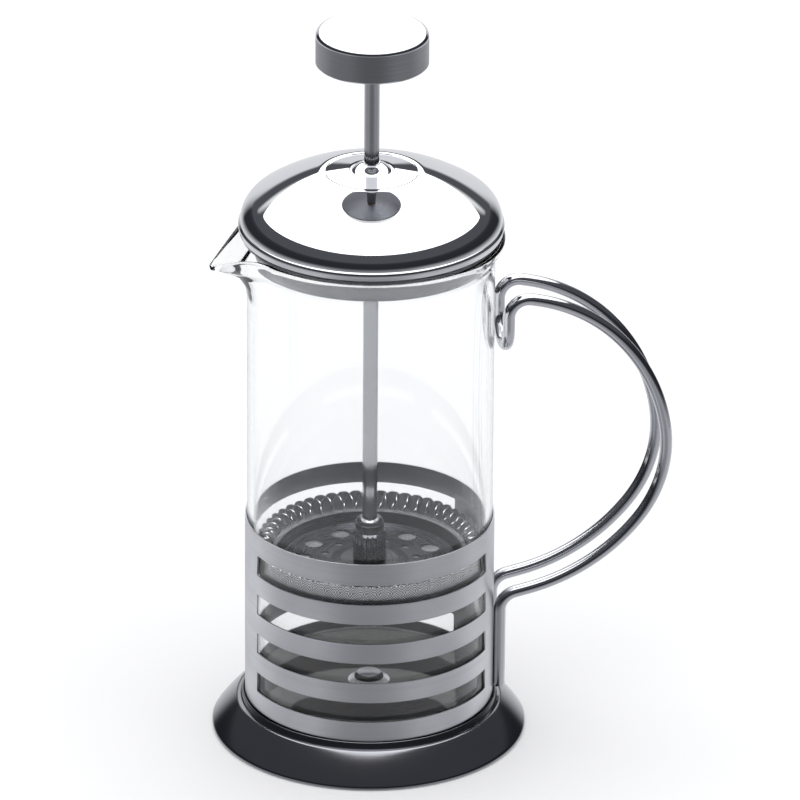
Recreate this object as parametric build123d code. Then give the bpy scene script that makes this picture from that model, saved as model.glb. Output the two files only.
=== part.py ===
from build123d import *
from build123d.topology import SkipClean
import math
import os

# French press, 350 ml class. Millimetres, +Z up.
# Origin: the press's vertical axis at the level of the table it stands on.
# The handle points along +X and the spout along -X.
# Stored with the plunger part-raised.

# ---------------------------------------------------------------- driving dimensions
# beaker
glass_radius = 35.05
glass_wall = 1.85
glass_floor_z = 12.2
glass_floor = 2.6
glass_heel_radius = 4.0
glass_rim_z = 153.2
lip_radius = 37.8
lip_bead = 1.0
flare_start_z = 145.5
nub_radius = 4.2
nub_height = 1.3
spout_foot_z = 139.5
spout_wall = 1.7
spout_cut_x = -34.8
spout_cut_z = 152.4
spout_cut_slope = 27.0

# holder
sheet = 0.42
sleeve_gap = 0.15
sleeve_bottom_z = 11.25
sleeve_top_z = 66.55
slot_rows = 4
slot_height = 6.2
slot_pitch = 12.3
first_slot_z = 20.1
slot_corner = 0.9
handle_column_half_angle = 32.0
spout_column_half_angle = 15.5
base_radius = 45.0
skirt_sheet = 0.8
skirt_shoulder_radius = 38.3
skirt_shoulder_z = 8.95
skirt_bulge_radius = 22.0
skirt_shoulder_bend = 1.3
seat_z = 10.55
seat_hole_radius = 26.0
floor_sheet = 1.5

# handle: one bent wire, two strands side by side
wire_radius = 1.75
leg_spacing = 12.0
hook_spacing = 14.3
leg_x = 36.9
leg_length = 24.0
leg_bend_radius = 5.4
leg_bend_angle = 78.0
arm_run = 3.9
loop_arcs = [(55.3, 39.4), (36.9, 47.2), (53.7, 34.2), (46.9, 36.2)]  # radius, degrees
hook_lead = 0.5
hook_radius = 5.3
hook_drop = 3.6

# lid
lid_radius = 37.5
lid_sheet = 0.6
lid_top_z = 174.0
crown_radius = 60.3
shoulder_radius = 8.3
shoulder_z = 157.5
lid_rim_z = 154.4
lid_roll_z = 155.8
dish_radius = 14.0
dish_depth = 0.75
lid_skirt_radius = 32.85
lid_skirt_z = 147.4
lid_skirt_sheet = 0.5
hub_radius = 6.1
hub_flange_z = 172.35
hub_top_z = 174.7
hub_shank_radius = 3.2
hub_shank_z = 165.0
hub_nut_radius = 5.2
hub_nut_height = 2.6

# plunger
rod_radius = 2.15
running_clearance = 0.07
thread_radius = 1.75
rod_bottom_z = 47.2
rod_shoulder_z = 54.2
rod_top_z = 212.2
rod_top_shoulder_z = 206.2
knob_radius = 15.9
knob_bottom_z = 204.75
knob_seam_z = 213.1
knob_top_z = 214.9
knob_shell_sheet = 0.8
knob_cap_sheet = 0.7
knob_corner = 0.9
knob_neck_hole = 2.6
insert_radius = 3.6

# filter
hub_nut_top_z = 65.5
hub_nut_bottom_z = 52.35
hub_flute_radius = 4.7
hub_flute_count = 20
hub_flute_top_z = 60.6
hub_neck_radius = 4.1
plate_z = 51.2
plate_sheet = 0.5
plate_flat_radius = 25.8
plate_edge_radius = 27.0
plate_edge_z = 54.4
boss_radius = 8.2
boss_foot_radius = 11.2
boss_height = 0.65
outer_hole_circle = 19.4
outer_hole_radius = 2.7
inner_hole_circle = 13.6
inner_hole_radius = 1.2
hole_count = 12
coil_radius = 29.9
coil_tube_radius = 2.45
coil_wire = 0.6
coil_loops = 54
coil_z = 56.3
screen_radius = 32.85
screen_sheet = 0.2
screen_z = 50.9
screen_top_z = 58.4
screen_corner = 2.2
cross_radius = 31.0
cross_sheet = 0.8
cross_window_inner = 9.0
cross_window_outer = 26.0
cross_window_angle = 66.0
bush_radius = 4.4
bush_bottom_z = 46.8

glass_inner_radius = glass_radius - glass_wall
sleeve_inner_radius = glass_radius + sleeve_gap
sleeve_radius = sleeve_inner_radius + sheet


# ---------------------------------------------------------------- helpers
def turned(outline):
    """Solid of revolution about Z from closed edges drawn as (radius, height)."""
    return revolve(Plane.XZ * make_face(outline), Axis.Z, 360)


def turned_points(*points):
    """Solid of revolution about Z from the corners of its half section."""
    return turned(Polyline(*points, close=True))


def ring(inner, outer, low, high):
    """Plain ring about Z between two radii and two heights."""
    return turned_points((inner, low), (outer, low), (outer, high), (inner, high))


def disc(radius, low, high):
    """Plain disc about Z."""
    return Pos(0, 0, (low + high) / 2) * Cylinder(radius, high - low)


def arc_point(centre, radius, degrees):
    """Point on a circle in the half section, measured from the outward direction."""
    angle = math.radians(degrees)
    return (centre[0] + radius * math.cos(angle), centre[1] + radius * math.sin(angle))


def bulge_centre(start, end, radius):
    """Centre of the arc of this radius from start up to end that bulges outwards."""
    dx, dz = end[0] - start[0], end[1] - start[1]
    chord = math.hypot(dx, dz)
    rise = math.sqrt(radius**2 - (chord / 2) ** 2)
    middle = ((start[0] + end[0]) / 2, (start[1] + end[1]) / 2)
    return (middle[0] - rise * dz / chord, middle[1] + rise * dx / chord)


def arc_about(centre, start, end):
    """Arc from start to end about a centre, the short way."""
    a = math.atan2(start[1] - centre[1], start[0] - centre[0])
    b = math.atan2(end[1] - centre[1], end[0] - centre[0])
    middle = (a + b) / 2
    radius = math.hypot(start[0] - centre[0], start[1] - centre[1])
    through = (centre[0] + radius * math.cos(middle), centre[1] + radius * math.sin(middle))
    return ThreePointArc(start, through, end)


def towards(centre, point, radius):
    """Point at this radius from the centre, on the line to another point."""
    dx, dz = point[0] - centre[0], point[1] - centre[1]
    length = math.hypot(dx, dz)
    return (centre[0] + radius * dx / length, centre[1] + radius * dz / length)


# ---------------------------------------------------------------- holder
def make_base_skirt():
    """Flared sheet-metal foot: rolled rim, bellied flank, shoulder and inner seat."""
    rim_height = 1.2
    foot_width = 2.2
    groove_radius, groove_z = 36.9, 9.15
    bead_radius, bead_z = 36.2, seat_z + 0.45
    start, end = (base_radius, rim_height), (skirt_shoulder_radius, skirt_shoulder_z)
    centre = bulge_centre(start, end, skirt_bulge_radius)
    bend_centre = towards(end, centre, skirt_shoulder_bend)
    bend_top = (bend_centre[0], bend_centre[1] + skirt_shoulder_bend)
    inner_start = towards(centre, start, skirt_bulge_radius - skirt_sheet)
    inner_end = towards(centre, end, skirt_bulge_radius - skirt_sheet)
    outer_side = [
        Line((base_radius - foot_width, 0), (base_radius - 0.5, 0)),
        RadiusArc((base_radius - 0.5, 0), (base_radius, 0.5), -0.5),
        Line((base_radius, 0.5), start),
        arc_about(centre, start, end),
        arc_about(bend_centre, end, bend_top),
        Polyline(bend_top, (groove_radius, groove_z), (bead_radius + 0.25, bead_z - 0.25)),
        RadiusArc((bead_radius + 0.25, bead_z - 0.25), (bead_radius - 0.25, bead_z), -0.5),
        Polyline(
            (bead_radius - 0.25, bead_z), (bead_radius - 0.7, seat_z), (seat_hole_radius, seat_z)
        ),
    ]
    under_side = [
        Polyline(
            (seat_hole_radius, seat_z),
            (seat_hole_radius, seat_z - skirt_sheet),
            (groove_radius - skirt_sheet - 1.3, seat_z - skirt_sheet),
            inner_end,
        ),
        arc_about(centre, inner_end, inner_start),
        Polyline(
            inner_start,
            (base_radius - skirt_sheet, skirt_sheet),
            (base_radius - foot_width, skirt_sheet),
            (base_radius - foot_width, 0),
        ),
    ]
    return turned(outer_side + under_side)


def make_base_floor():
    """Disc welded across the foot of the sleeve; the beaker stands on it."""
    top = glass_floor_z
    body = disc(sleeve_inner_radius, seat_z, top)
    bottom_edge = body.edges().group_by(Axis.Z)[0]
    body = chamfer(bottom_edge, 0.3)
    drain_radius = 6.0
    return body - disc(drain_radius, seat_z - 1, top + 1)


def slot_cutter(centre_z, start_angle, sweep):
    """Rounded window through the sleeve, from one angle round to another."""
    reach = 2.0
    profile = Pos(sleeve_radius, centre_z) * Rectangle(2 * reach, slot_height)
    swept = revolve(Plane.XZ * profile, Axis.Z, sweep)
    ends = [e for e in swept.edges().filter_by(GeomType.LINE) if abs(e.length - 2 * reach) < 0.01]
    return Rot(0, 0, start_angle) * fillet(ends, slot_corner)


def sleeve_shell(low_z, high_z, start_angle, sweep):
    """Part of the sleeve's sheet between two heights and two angles."""
    profile = Pos((sleeve_inner_radius + sleeve_radius) / 2, (low_z + high_z) / 2)
    profile *= Rectangle(sheet, high_z - low_z)
    return Rot(0, 0, start_angle) * revolve(Plane.XZ * profile, Axis.Z, sweep)


def make_frame_sleeve():
    """Rolled sheet sleeve with four rows of long windows on each side.

    The sheet is kept as eight shells joined across the bands and through the windows,
    so that no face has a hole in it and every mesher follows it.
    """
    sweep = 180 - handle_column_half_angle - spout_column_half_angle
    join_angle = handle_column_half_angle + sweep / 2
    rows = [first_slot_z + row * slot_pitch for row in range(slot_rows)]
    joins = [sleeve_bottom_z] + [z + slot_pitch / 2 for z in rows[:-1]] + [sleeve_top_z]
    shells = []
    with SkipClean():
        for centre_z, low_z, high_z in zip(rows, joins, joins[1:]):
            windows = [
                slot_cutter(centre_z, handle_column_half_angle, sweep),
                slot_cutter(centre_z, -handle_column_half_angle - sweep, sweep),
            ]
            handle_side = sleeve_shell(low_z, high_z, -join_angle, 2 * join_angle)
            spout_side = sleeve_shell(low_z, high_z, join_angle, 360 - 2 * join_angle)
            shells += (handle_side - windows).solids() + (spout_side - windows).solids()
        return shells[0].fuse(*shells[1:])


def handle_strand():
    """Centre line of one strand in (x, z): weld leg, bend, big loop, hook."""
    lines = [Line((leg_x, seat_z + 1.0), (leg_x, seat_z + 1.0 + leg_length))]
    lines.append(JernArc(lines[-1] @ 1, lines[-1] % 1, leg_bend_radius, -leg_bend_angle))
    lines.append(Line(lines[-1] @ 1, lines[-1] @ 1 + arm_run * (lines[-1] % 1)))
    for radius, angle in loop_arcs:
        lines.append(JernArc(lines[-1] @ 1, lines[-1] % 1, radius, angle))
    lines.append(Line(lines[-1] @ 1, lines[-1] @ 1 + hook_lead * (lines[-1] % 1)))
    turned_so_far = 90 - leg_bend_angle + sum(angle for _, angle in loop_arcs)
    lines.append(JernArc(lines[-1] @ 1, lines[-1] % 1, hook_radius, 270 - turned_so_far))
    lines.append(Line(lines[-1] @ 1, lines[-1] @ 1 + hook_drop * (lines[-1] % 1)))
    return lines


def make_handle_wire():
    """One bent wire: two strands that spread towards the hooks and join in a U below them."""
    strand = handle_strand()
    foot, end = strand[0] @ 0, strand[-1] @ 1
    spread = math.atan2((hook_spacing - leg_spacing) / 2, end.Y - foot.Y)
    tilt = Pos(0, -leg_spacing / 2, foot.Y) * (
        Rot(math.degrees(spread), 0, 0) * Pos(0, 0, -foot.Y)
    )
    near = [tilt * (Plane.XZ * line) for line in strand]
    far = [line.mirror(Plane.XZ) for line in near]
    tip = near[-1] @ 1
    turn_radius = -tip.Y / math.cos(spread)
    turn_low = tip.Z + turn_radius * math.sin(spread) - turn_radius
    turn = ThreePointArc((tip.X, tip.Y, tip.Z), (tip.X, 0, turn_low), (tip.X, -tip.Y, tip.Z))
    path = Wire(near + [turn] + far)
    profile = Plane(origin=path @ 0, z_dir=path % 0) * Circle(wire_radius)
    return sweep(profile, path=path)


# ---------------------------------------------------------------- beaker
def make_beaker_body():
    """The beaker before the spout is drawn: flat foot, centre nub, straight wall, flared lip."""
    r, ri = glass_radius, glass_inner_radius
    heel = glass_heel_radius
    bottom, floor_top = glass_floor_z, glass_floor_z + glass_floor
    inner_heel = heel - 1.0
    lip_inner = lip_radius - 2 * lip_bead
    lip_z = glass_rim_z - lip_bead
    outline = [
        Line((0, bottom), (r - heel, bottom)),
        RadiusArc((r - heel, bottom), (r, bottom + heel), -heel),
        Line((r, bottom + heel), (r, flare_start_z)),
        Spline((r, flare_start_z), (lip_radius, lip_z), tangents=[(0, 1), (0, 1)]),
        RadiusArc((lip_radius, lip_z), (lip_radius - lip_bead, glass_rim_z), -lip_bead),
        RadiusArc((lip_radius - lip_bead, glass_rim_z), (lip_inner, lip_z), -lip_bead),
        Spline((lip_inner, lip_z), (ri, flare_start_z), tangents=[(0, -1), (0, -1)]),
        Line((ri, flare_start_z), (ri, floor_top + inner_heel)),
        RadiusArc((ri, floor_top + inner_heel), (ri - inner_heel, floor_top), inner_heel),
        Polyline(
            (ri - inner_heel, floor_top),
            (nub_radius, floor_top),
            (nub_radius - nub_height, floor_top + nub_height),
            (0, floor_top + nub_height),
            (0, bottom),
        ),
    ]
    return turned(outline)


def spout_cone(foot_centre, foot_radii, top_centre, top_radii, foot_z):
    """Slanting scoop: an oval at the spout's foot grown to a long oval at the rim."""
    foot = Pos(foot_centre, 0, foot_z) * Ellipse(*foot_radii)
    top = Pos(top_centre, 0, glass_rim_z - 0.3) * Ellipse(*top_radii)
    return loft([foot, top])


def make_glass_beaker():
    """Blown glass beaker with a spout drawn out of its lip and cut down to the tip."""
    outer = spout_cone(-31.0, (4.0, 3.0), -26.7, (29.6, 15.8), spout_foot_z)
    inner = spout_cone(-30.6, (3.0, 2.0), -26.7, (27.9, 14.2), spout_foot_z + spout_wall)
    lip_inner = lip_radius - 2 * lip_bead
    bowl = turned_points(
        (0, glass_floor_z + 10),
        (glass_inner_radius, glass_floor_z + 10),
        (glass_inner_radius, flare_start_z),
        (lip_inner + 0.3, glass_rim_z - 1.5 * lip_bead),
        (lip_inner + 0.3, glass_rim_z + 1),
        (0, glass_rim_z + 1),
    )
    above = Pos(spout_cut_x, 0, spout_cut_z) * (
        Rot(0, -spout_cut_slope, 0) * (Pos(-15, 0, 15) * Box(60, 80, 30))
    )
    beaker = make_beaker_body() - inner - (outer & above)
    return beaker + ((outer - inner - above) - bowl)


# ---------------------------------------------------------------- lid
def crown_height(radius, surface_radius=crown_radius):
    """Height of the lid's crown at a radius, for the outer or an inner surface."""
    centre_z = lid_top_z - crown_radius
    return centre_z + math.sqrt(surface_radius**2 - radius**2)


def make_lid_dome():
    """Pressed dome with a shallow dish round the bushing and a turned-down rim."""
    t = lid_sheet
    step_radius = lid_radius - 0.5
    a = step_radius - shoulder_radius
    crown_centre = (0, lid_top_z - crown_radius)
    rise = math.sqrt((crown_radius - shoulder_radius) ** 2 - a**2)
    shoulder = (a, crown_centre[1] + rise)
    lean = math.degrees(math.atan2(rise, a))
    outer_join = arc_point(shoulder, shoulder_radius, lean)
    inner_join = arc_point(shoulder, shoulder_radius - t, lean)
    dish_z = crown_height(dish_radius) - dish_depth
    crown_out = (dish_radius + dish_depth, crown_height(dish_radius + dish_depth))
    crown_in = (dish_radius, crown_height(dish_radius, crown_radius - t) - dish_depth)
    outer = [
        Line((hub_shank_radius, dish_z - t), (hub_shank_radius, dish_z)),
        Polyline((hub_shank_radius, dish_z), (dish_radius, dish_z), crown_out),
        arc_about(crown_centre, crown_out, outer_join),
        arc_about(shoulder, outer_join, (step_radius, shoulder[1])),
        Polyline(
            (step_radius, shoulder[1]),
            (lid_radius - 0.1, shoulder[1] - 0.3),
            (lid_radius, shoulder[1] - 0.6),
            (lid_radius, lid_roll_z),
            (lid_radius - 0.3, lid_roll_z - 0.3),
            (lid_radius - 0.3, lid_rim_z + 0.2),
            (lid_radius - 0.5, lid_rim_z),
            (lid_radius - t - 0.2, lid_rim_z),
            (lid_radius - t - 0.2, lid_roll_z),
            (lid_radius - t, lid_roll_z + 0.2),
            (lid_radius - t, shoulder[1] - 0.7),
            (step_radius - t, shoulder[1]),
        ),
    ]
    inner = [
        arc_about(shoulder, (step_radius - t, shoulder[1]), inner_join),
        arc_about(crown_centre, inner_join, (crown_in[0] + 1.5, crown_height(crown_in[0] + 1.5, crown_radius - t))),
        Polyline(
            (crown_in[0] + 1.5, crown_height(crown_in[0] + 1.5, crown_radius - t)),
            (crown_in[0] - 0.4, dish_z - t),
            (hub_shank_radius, dish_z - t),
        ),
    ]
    return turned(outer + inner)


def make_lid_skirt():
    """Ring inside the rim: its flange sits on the glass, its wall centres the lid."""
    t = lid_skirt_sheet
    flange_z = glass_rim_z + 0.1
    flange_radius = lid_radius - lid_sheet - 0.3
    return turned_points(
        (lid_skirt_radius - t, lid_skirt_z),
        (lid_skirt_radius, lid_skirt_z),
        (lid_skirt_radius, flange_z),
        (flange_radius, flange_z),
        (flange_radius, flange_z + t),
        (lid_skirt_radius - t, flange_z + t),
    )


def make_lid_bushing():
    """Flanged bushing that guides the rod: domed head, threaded shank under the lid."""
    dish_z = crown_height(dish_radius) - dish_depth
    bore = rod_radius + running_clearance
    outline = [
        Polyline(
            (bore, hub_shank_z),
            (hub_shank_radius - 0.03, hub_shank_z),
            (hub_shank_radius - 0.03, dish_z),
            (hub_radius - 0.5, dish_z),
            (hub_radius, dish_z + 0.5),
            (hub_radius - 0.3, dish_z + 1.0),
        ),
        ThreePointArc((hub_radius - 0.3, dish_z + 1.0), (4.3, 173.9), (bore + 0.3, hub_top_z)),
        Polyline((bore + 0.3, hub_top_z), (bore, hub_top_z - 0.2), (bore, hub_shank_z)),
    ]
    return turned(outline)


def make_bushing_washer():
    """Flat washer between the lid and the bushing's nut."""
    top = crown_height(dish_radius) - dish_depth - lid_sheet
    return ring(hub_shank_radius, hub_nut_radius + 1.6, top - 0.8, top)


def make_bushing_nut():
    """Hexagonal nut that clamps the bushing to the lid."""
    top = crown_height(dish_radius) - dish_depth - lid_sheet - 0.8
    body = extrude(RegularPolygon(hub_nut_radius, 6, major_radius=False), hub_nut_height)
    return Pos(0, 0, top - hub_nut_height) * body - disc(hub_shank_radius, top - 10, top + 1)


# ---------------------------------------------------------------- plunger
def make_plunger_rod():
    """Drawn rod with a threaded end for the filter and another for the knob."""
    relief = 0.3
    return turned_points(
        (0, rod_bottom_z),
        (thread_radius - relief, rod_bottom_z),
        (thread_radius, rod_bottom_z + relief),
        (thread_radius, rod_shoulder_z),
        (rod_radius, rod_shoulder_z),
        (rod_radius, rod_top_shoulder_z),
        (thread_radius, rod_top_shoulder_z),
        (thread_radius, rod_top_z - relief),
        (thread_radius - relief, rod_top_z),
        (0, rod_top_z),
    )


def make_filter_hub_nut():
    """Hub pressed on the rod: smooth domed top, fluted grip below, spigot at the foot."""
    flute_depth = 0.35
    bore = rod_radius
    body = turned(
        [
            Polyline(
                (bore, rod_shoulder_z),
                (thread_radius + 0.02, rod_shoulder_z),
                (thread_radius + 0.02, hub_nut_bottom_z),
                (hub_flute_radius - 0.5, hub_nut_bottom_z),
                (hub_flute_radius, hub_nut_bottom_z + 0.5),
                (hub_flute_radius, hub_flute_top_z),
                (hub_neck_radius, hub_flute_top_z + 0.6),
                (hub_neck_radius, hub_nut_top_z - 1.9),
            ),
            ThreePointArc(
                (hub_neck_radius, hub_nut_top_z - 1.9),
                (hub_neck_radius - 0.6, hub_nut_top_z - 0.55),
                (bore + 0.3, hub_nut_top_z),
            ),
            Polyline((bore + 0.3, hub_nut_top_z), (bore, hub_nut_top_z), (bore, rod_shoulder_z)),
        ]
    )
    height = hub_flute_top_z - hub_nut_bottom_z + 2
    for index in range(hub_flute_count):
        groove = Pos(hub_flute_radius, 0, hub_nut_bottom_z - 1 + height / 2) * Cylinder(
            flute_depth, height
        )
        body -= Rot(0, 0, index * 360 / hub_flute_count) * groove
    return body


def make_knob_shell():
    """Turned cup of the knob: flat underside with a neck hole, straight side."""
    t = knob_shell_sheet
    return turned_points(
        (knob_neck_hole, knob_bottom_z),
        (knob_radius - 0.5, knob_bottom_z),
        (knob_radius, knob_bottom_z + 0.5),
        (knob_radius, knob_seam_z),
        (knob_radius - t, knob_seam_z),
        (knob_radius - t, knob_bottom_z + t),
        (knob_neck_hole, knob_bottom_z + t),
    )


def make_knob_cap():
    """Crowned top disc of the knob with a rolled edge over the shell."""
    t = knob_cap_sheet
    crown = 0.5
    edge = knob_radius - knob_corner
    side_top = knob_top_z - crown - knob_corner
    surface_radius = (edge**2 + crown**2) / (2 * crown)
    centre = (0, knob_top_z - surface_radius)
    inner_edge = towards(centre, (edge - t, knob_top_z - crown), surface_radius - t)
    outline = [
        Line((0, knob_top_z - t), (0, knob_top_z)),
        arc_about(centre, (0, knob_top_z), (edge, knob_top_z - crown)),
        RadiusArc((edge, knob_top_z - crown), (knob_radius, side_top), knob_corner),
        Polyline(
            (knob_radius, side_top),
            (knob_radius, knob_seam_z + 0.1),
            (knob_radius - knob_shell_sheet, knob_seam_z + 0.1),
            inner_edge,
        ),
        arc_about(centre, inner_edge, (0, knob_top_z - t)),
    ]
    return turned(outline)


def make_knob_core():
    """Moulded filling of the knob, round the threaded insert."""
    t = knob_shell_sheet
    return ring(insert_radius, knob_radius - t, knob_bottom_z + t, knob_seam_z - 0.1)


def make_knob_insert():
    """Threaded brass insert moulded into the knob's core."""
    low, high = knob_bottom_z + knob_shell_sheet, rod_top_z + 0.4
    mouth = rod_radius + running_clearance
    thread = thread_radius + running_clearance
    return turned_points(
        (mouth, low),
        (insert_radius, low),
        (insert_radius, high),
        (thread, high),
        (thread, rod_top_shoulder_z + 0.1),
        (mouth, rod_top_shoulder_z + 0.1),
    )


# ---------------------------------------------------------------- filter
def make_spring_plate():
    """Stamped plate: raised boss, two rings of holes and a turned-up edge."""
    t = plate_sheet
    low, high = plate_z, plate_z + t
    hole = thread_radius + running_clearance
    body = turned_points(
        (hole, low + boss_height),
        (boss_radius, low + boss_height),
        (boss_foot_radius, low),
        (plate_flat_radius, low),
        (plate_edge_radius, plate_edge_z),
        (plate_edge_radius - t, plate_edge_z),
        (plate_flat_radius - t, high),
        (boss_foot_radius, high),
        (boss_radius, high + boss_height - 0.05),
        (hole, high + boss_height - 0.05),
    )
    for index in range(hole_count):
        turn = 360 / hole_count * (index + 0.5)
        body -= Rot(0, 0, turn) * (
            Pos(outer_hole_circle, 0, plate_z) * Cylinder(outer_hole_radius, 6)
        )
        body -= Rot(0, 0, turn + 180 / hole_count) * (
            Pos(inner_hole_circle, 0, plate_z) * Cylinder(inner_hole_radius, 6)
        )
    return body


def make_coil_spring():
    """Wiper spring round the plate: its turns, each as a closed ring of wire."""
    turns = []
    for index in range(coil_loops):
        turn = Torus(coil_tube_radius - coil_wire / 2, coil_wire / 2)
        upright = Pos(coil_radius, 0, coil_z) * (Rot(90, 0, 0) * turn)
        turns.append(Rot(0, 0, index * 360 / coil_loops) * upright)
    return Compound(turns)


def make_mesh_screen():
    """Woven screen: flat under the plate, turned up round the outside of the coil."""
    t, r, low, corner = screen_sheet, screen_radius, screen_z, screen_corner
    hole = thread_radius + running_clearance
    return turned(
        [
            Line((hole, low), (r - corner, low)),
            RadiusArc((r - corner, low), (r, low + corner), -corner),
            Polyline((r, low + corner), (r, screen_top_z), (r - t, screen_top_z), (r - t, low + corner)),
            RadiusArc((r - t, low + corner), (r - corner, low + t), corner - t),
            Polyline((r - corner, low + t), (hole, low + t), (hole, low)),
        ]
    )


def make_cross_plate():
    """Bottom plate with four large windows, holding the screen against the plate."""
    high = screen_z
    low = high - cross_sheet
    body = ring(bush_radius - 1.0, cross_radius, low, high)
    window = ring(cross_window_inner, cross_window_outer, low - 1, high + 1)
    length = cross_radius * 2
    for quarter in range(4):
        start = quarter * 90 + (90 - cross_window_angle) / 2
        wedge = extrude(
            make_face(
                Polyline(
                    (0, 0),
                    (length * math.cos(math.radians(start)), length * math.sin(math.radians(start))),
                    (
                        length * math.cos(math.radians(start + cross_window_angle)),
                        length * math.sin(math.radians(start + cross_window_angle)),
                    ),
                    close=True,
                )
            ),
            high + 2,
        )
        body -= window & wedge
    return body


def make_cross_bush():
    """Threaded bush riveted in the cross plate; it screws on the rod's lower end."""
    thread = thread_radius + running_clearance
    spigot = bush_radius - 1.0
    low_face = screen_z - cross_sheet
    return turned_points(
        (thread, bush_bottom_z),
        (bush_radius - 0.5, bush_bottom_z),
        (bush_radius, bush_bottom_z + 0.5),
        (bush_radius, low_face),
        (spigot, low_face),
        (spigot, screen_z),
        (thread, screen_z),
    )


# ---------------------------------------------------------------- write the parts
os.makedirs("parts", exist_ok=True)
export_step(make_base_skirt(), "parts/base_skirt.step")
export_step(make_base_floor(), "parts/base_floor.step")
export_step(make_frame_sleeve(), "parts/frame_sleeve.step")
export_step(make_handle_wire(), "parts/handle_wire.step")
export_step(make_glass_beaker(), "parts/glass_beaker.step")
export_step(make_lid_dome(), "parts/lid_dome.step")
export_step(make_lid_skirt(), "parts/lid_skirt.step")
export_step(make_lid_bushing(), "parts/lid_bushing.step")
export_step(make_bushing_washer(), "parts/bushing_washer.step")
export_step(make_bushing_nut(), "parts/bushing_nut.step")
export_step(make_plunger_rod(), "parts/plunger_rod.step")
export_step(make_filter_hub_nut(), "parts/filter_hub_nut.step")
export_step(make_knob_shell(), "parts/knob_shell.step")
export_step(make_knob_cap(), "parts/knob_cap.step")
export_step(make_knob_core(), "parts/knob_core.step")
export_step(make_knob_insert(), "parts/knob_insert.step")
export_step(make_spring_plate(), "parts/spring_plate.step")
export_step(make_coil_spring(), "parts/coil_spring.step")
export_step(make_mesh_screen(), "parts/mesh_screen.step")
export_step(make_cross_plate(), "parts/cross_plate.step")
export_step(make_cross_bush(), "parts/cross_bush.step")
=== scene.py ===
import logging
import math
from dataclasses import dataclass
from enum import Enum
from typing import Callable

import bpy
from mathutils import Matrix, Vector


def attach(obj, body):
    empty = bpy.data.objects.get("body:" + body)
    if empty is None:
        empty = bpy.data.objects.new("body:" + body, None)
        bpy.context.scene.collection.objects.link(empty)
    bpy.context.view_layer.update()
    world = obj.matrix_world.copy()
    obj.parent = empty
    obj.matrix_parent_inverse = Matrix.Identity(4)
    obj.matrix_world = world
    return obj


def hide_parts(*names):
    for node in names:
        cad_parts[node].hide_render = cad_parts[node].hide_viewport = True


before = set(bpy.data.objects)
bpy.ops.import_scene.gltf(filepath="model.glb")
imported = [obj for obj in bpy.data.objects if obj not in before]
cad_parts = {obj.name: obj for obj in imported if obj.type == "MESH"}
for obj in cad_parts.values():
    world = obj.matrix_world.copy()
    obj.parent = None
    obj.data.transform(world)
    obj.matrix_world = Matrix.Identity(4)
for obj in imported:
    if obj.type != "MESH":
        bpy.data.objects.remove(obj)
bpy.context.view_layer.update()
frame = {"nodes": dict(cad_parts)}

logging.basicConfig(level=logging.INFO, format="%(message)s")
log = logging.getLogger("press")

MM = 0.001
MERGE = 1e-7  # metres; vertices closer than this are one
Point = tuple[float, float]


# ---------------------------------------------------------------- colours and nodes
def linear(hex_colour: str) -> tuple[float, float, float, float]:
    """Turns an sRGB hex colour into a linear colour.

    Args:
        hex_colour: six hex digits, such as "c8c9cc".

    Returns:
        Linear red, green, blue and an alpha of 1.
    """
    parts = [int(hex_colour[i:i + 2], 16) / 255 for i in (0, 2, 4)]
    red, green, blue = (c / 12.92 if c <= 0.04045 else ((c + 0.055) / 1.055) ** 2.4 for c in parts)
    return (red, green, blue, 1.0)


def add_node(
    tree: bpy.types.NodeTree, kind: str, settings: dict | None = None, inputs: dict | None = None
) -> bpy.types.Node:
    """Adds one node with its settings, constants and links.

    Args:
        tree: the node tree.
        kind: the node's type name.
        settings: the node's own properties, by name.
        inputs: per input name or index, a constant or the socket that feeds it.

    Returns:
        The new node.
    """
    node = tree.nodes.new(kind)
    for name, value in (settings or {}).items():
        setattr(node, name, value)
    for key, value in (inputs or {}).items():
        if isinstance(value, bpy.types.NodeSocket):
            tree.links.new(value, node.inputs[key])
        else:
            node.inputs[key].default_value = value
    return node


def new_material(name: str) -> tuple[bpy.types.Material, bpy.types.NodeTree, bpy.types.Node]:
    """Makes an empty node material.

    Args:
        name: the material's name.

    Returns:
        The material, its tree and its Principled shader, already linked to the output.
    """
    material = bpy.data.materials.new(name)
    material.use_nodes = True
    tree = material.node_tree
    tree.nodes.clear()
    shader = add_node(tree, "ShaderNodeBsdfPrincipled")
    output = add_node(tree, "ShaderNodeOutputMaterial")
    tree.links.new(shader.outputs["BSDF"], output.inputs["Surface"])
    return material, tree, shader


# ---------------------------------------------------------------- finishes
class Grain(Enum):
    """Direction in which a steel surface was worked."""

    TURNED = "rings about the press's axis, from spinning or turning"
    ROLLED = "fine lines along the sheet, from rolling and brushing"
    POLISHED = "no lines, only the faint orange peel of buffing"


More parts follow.
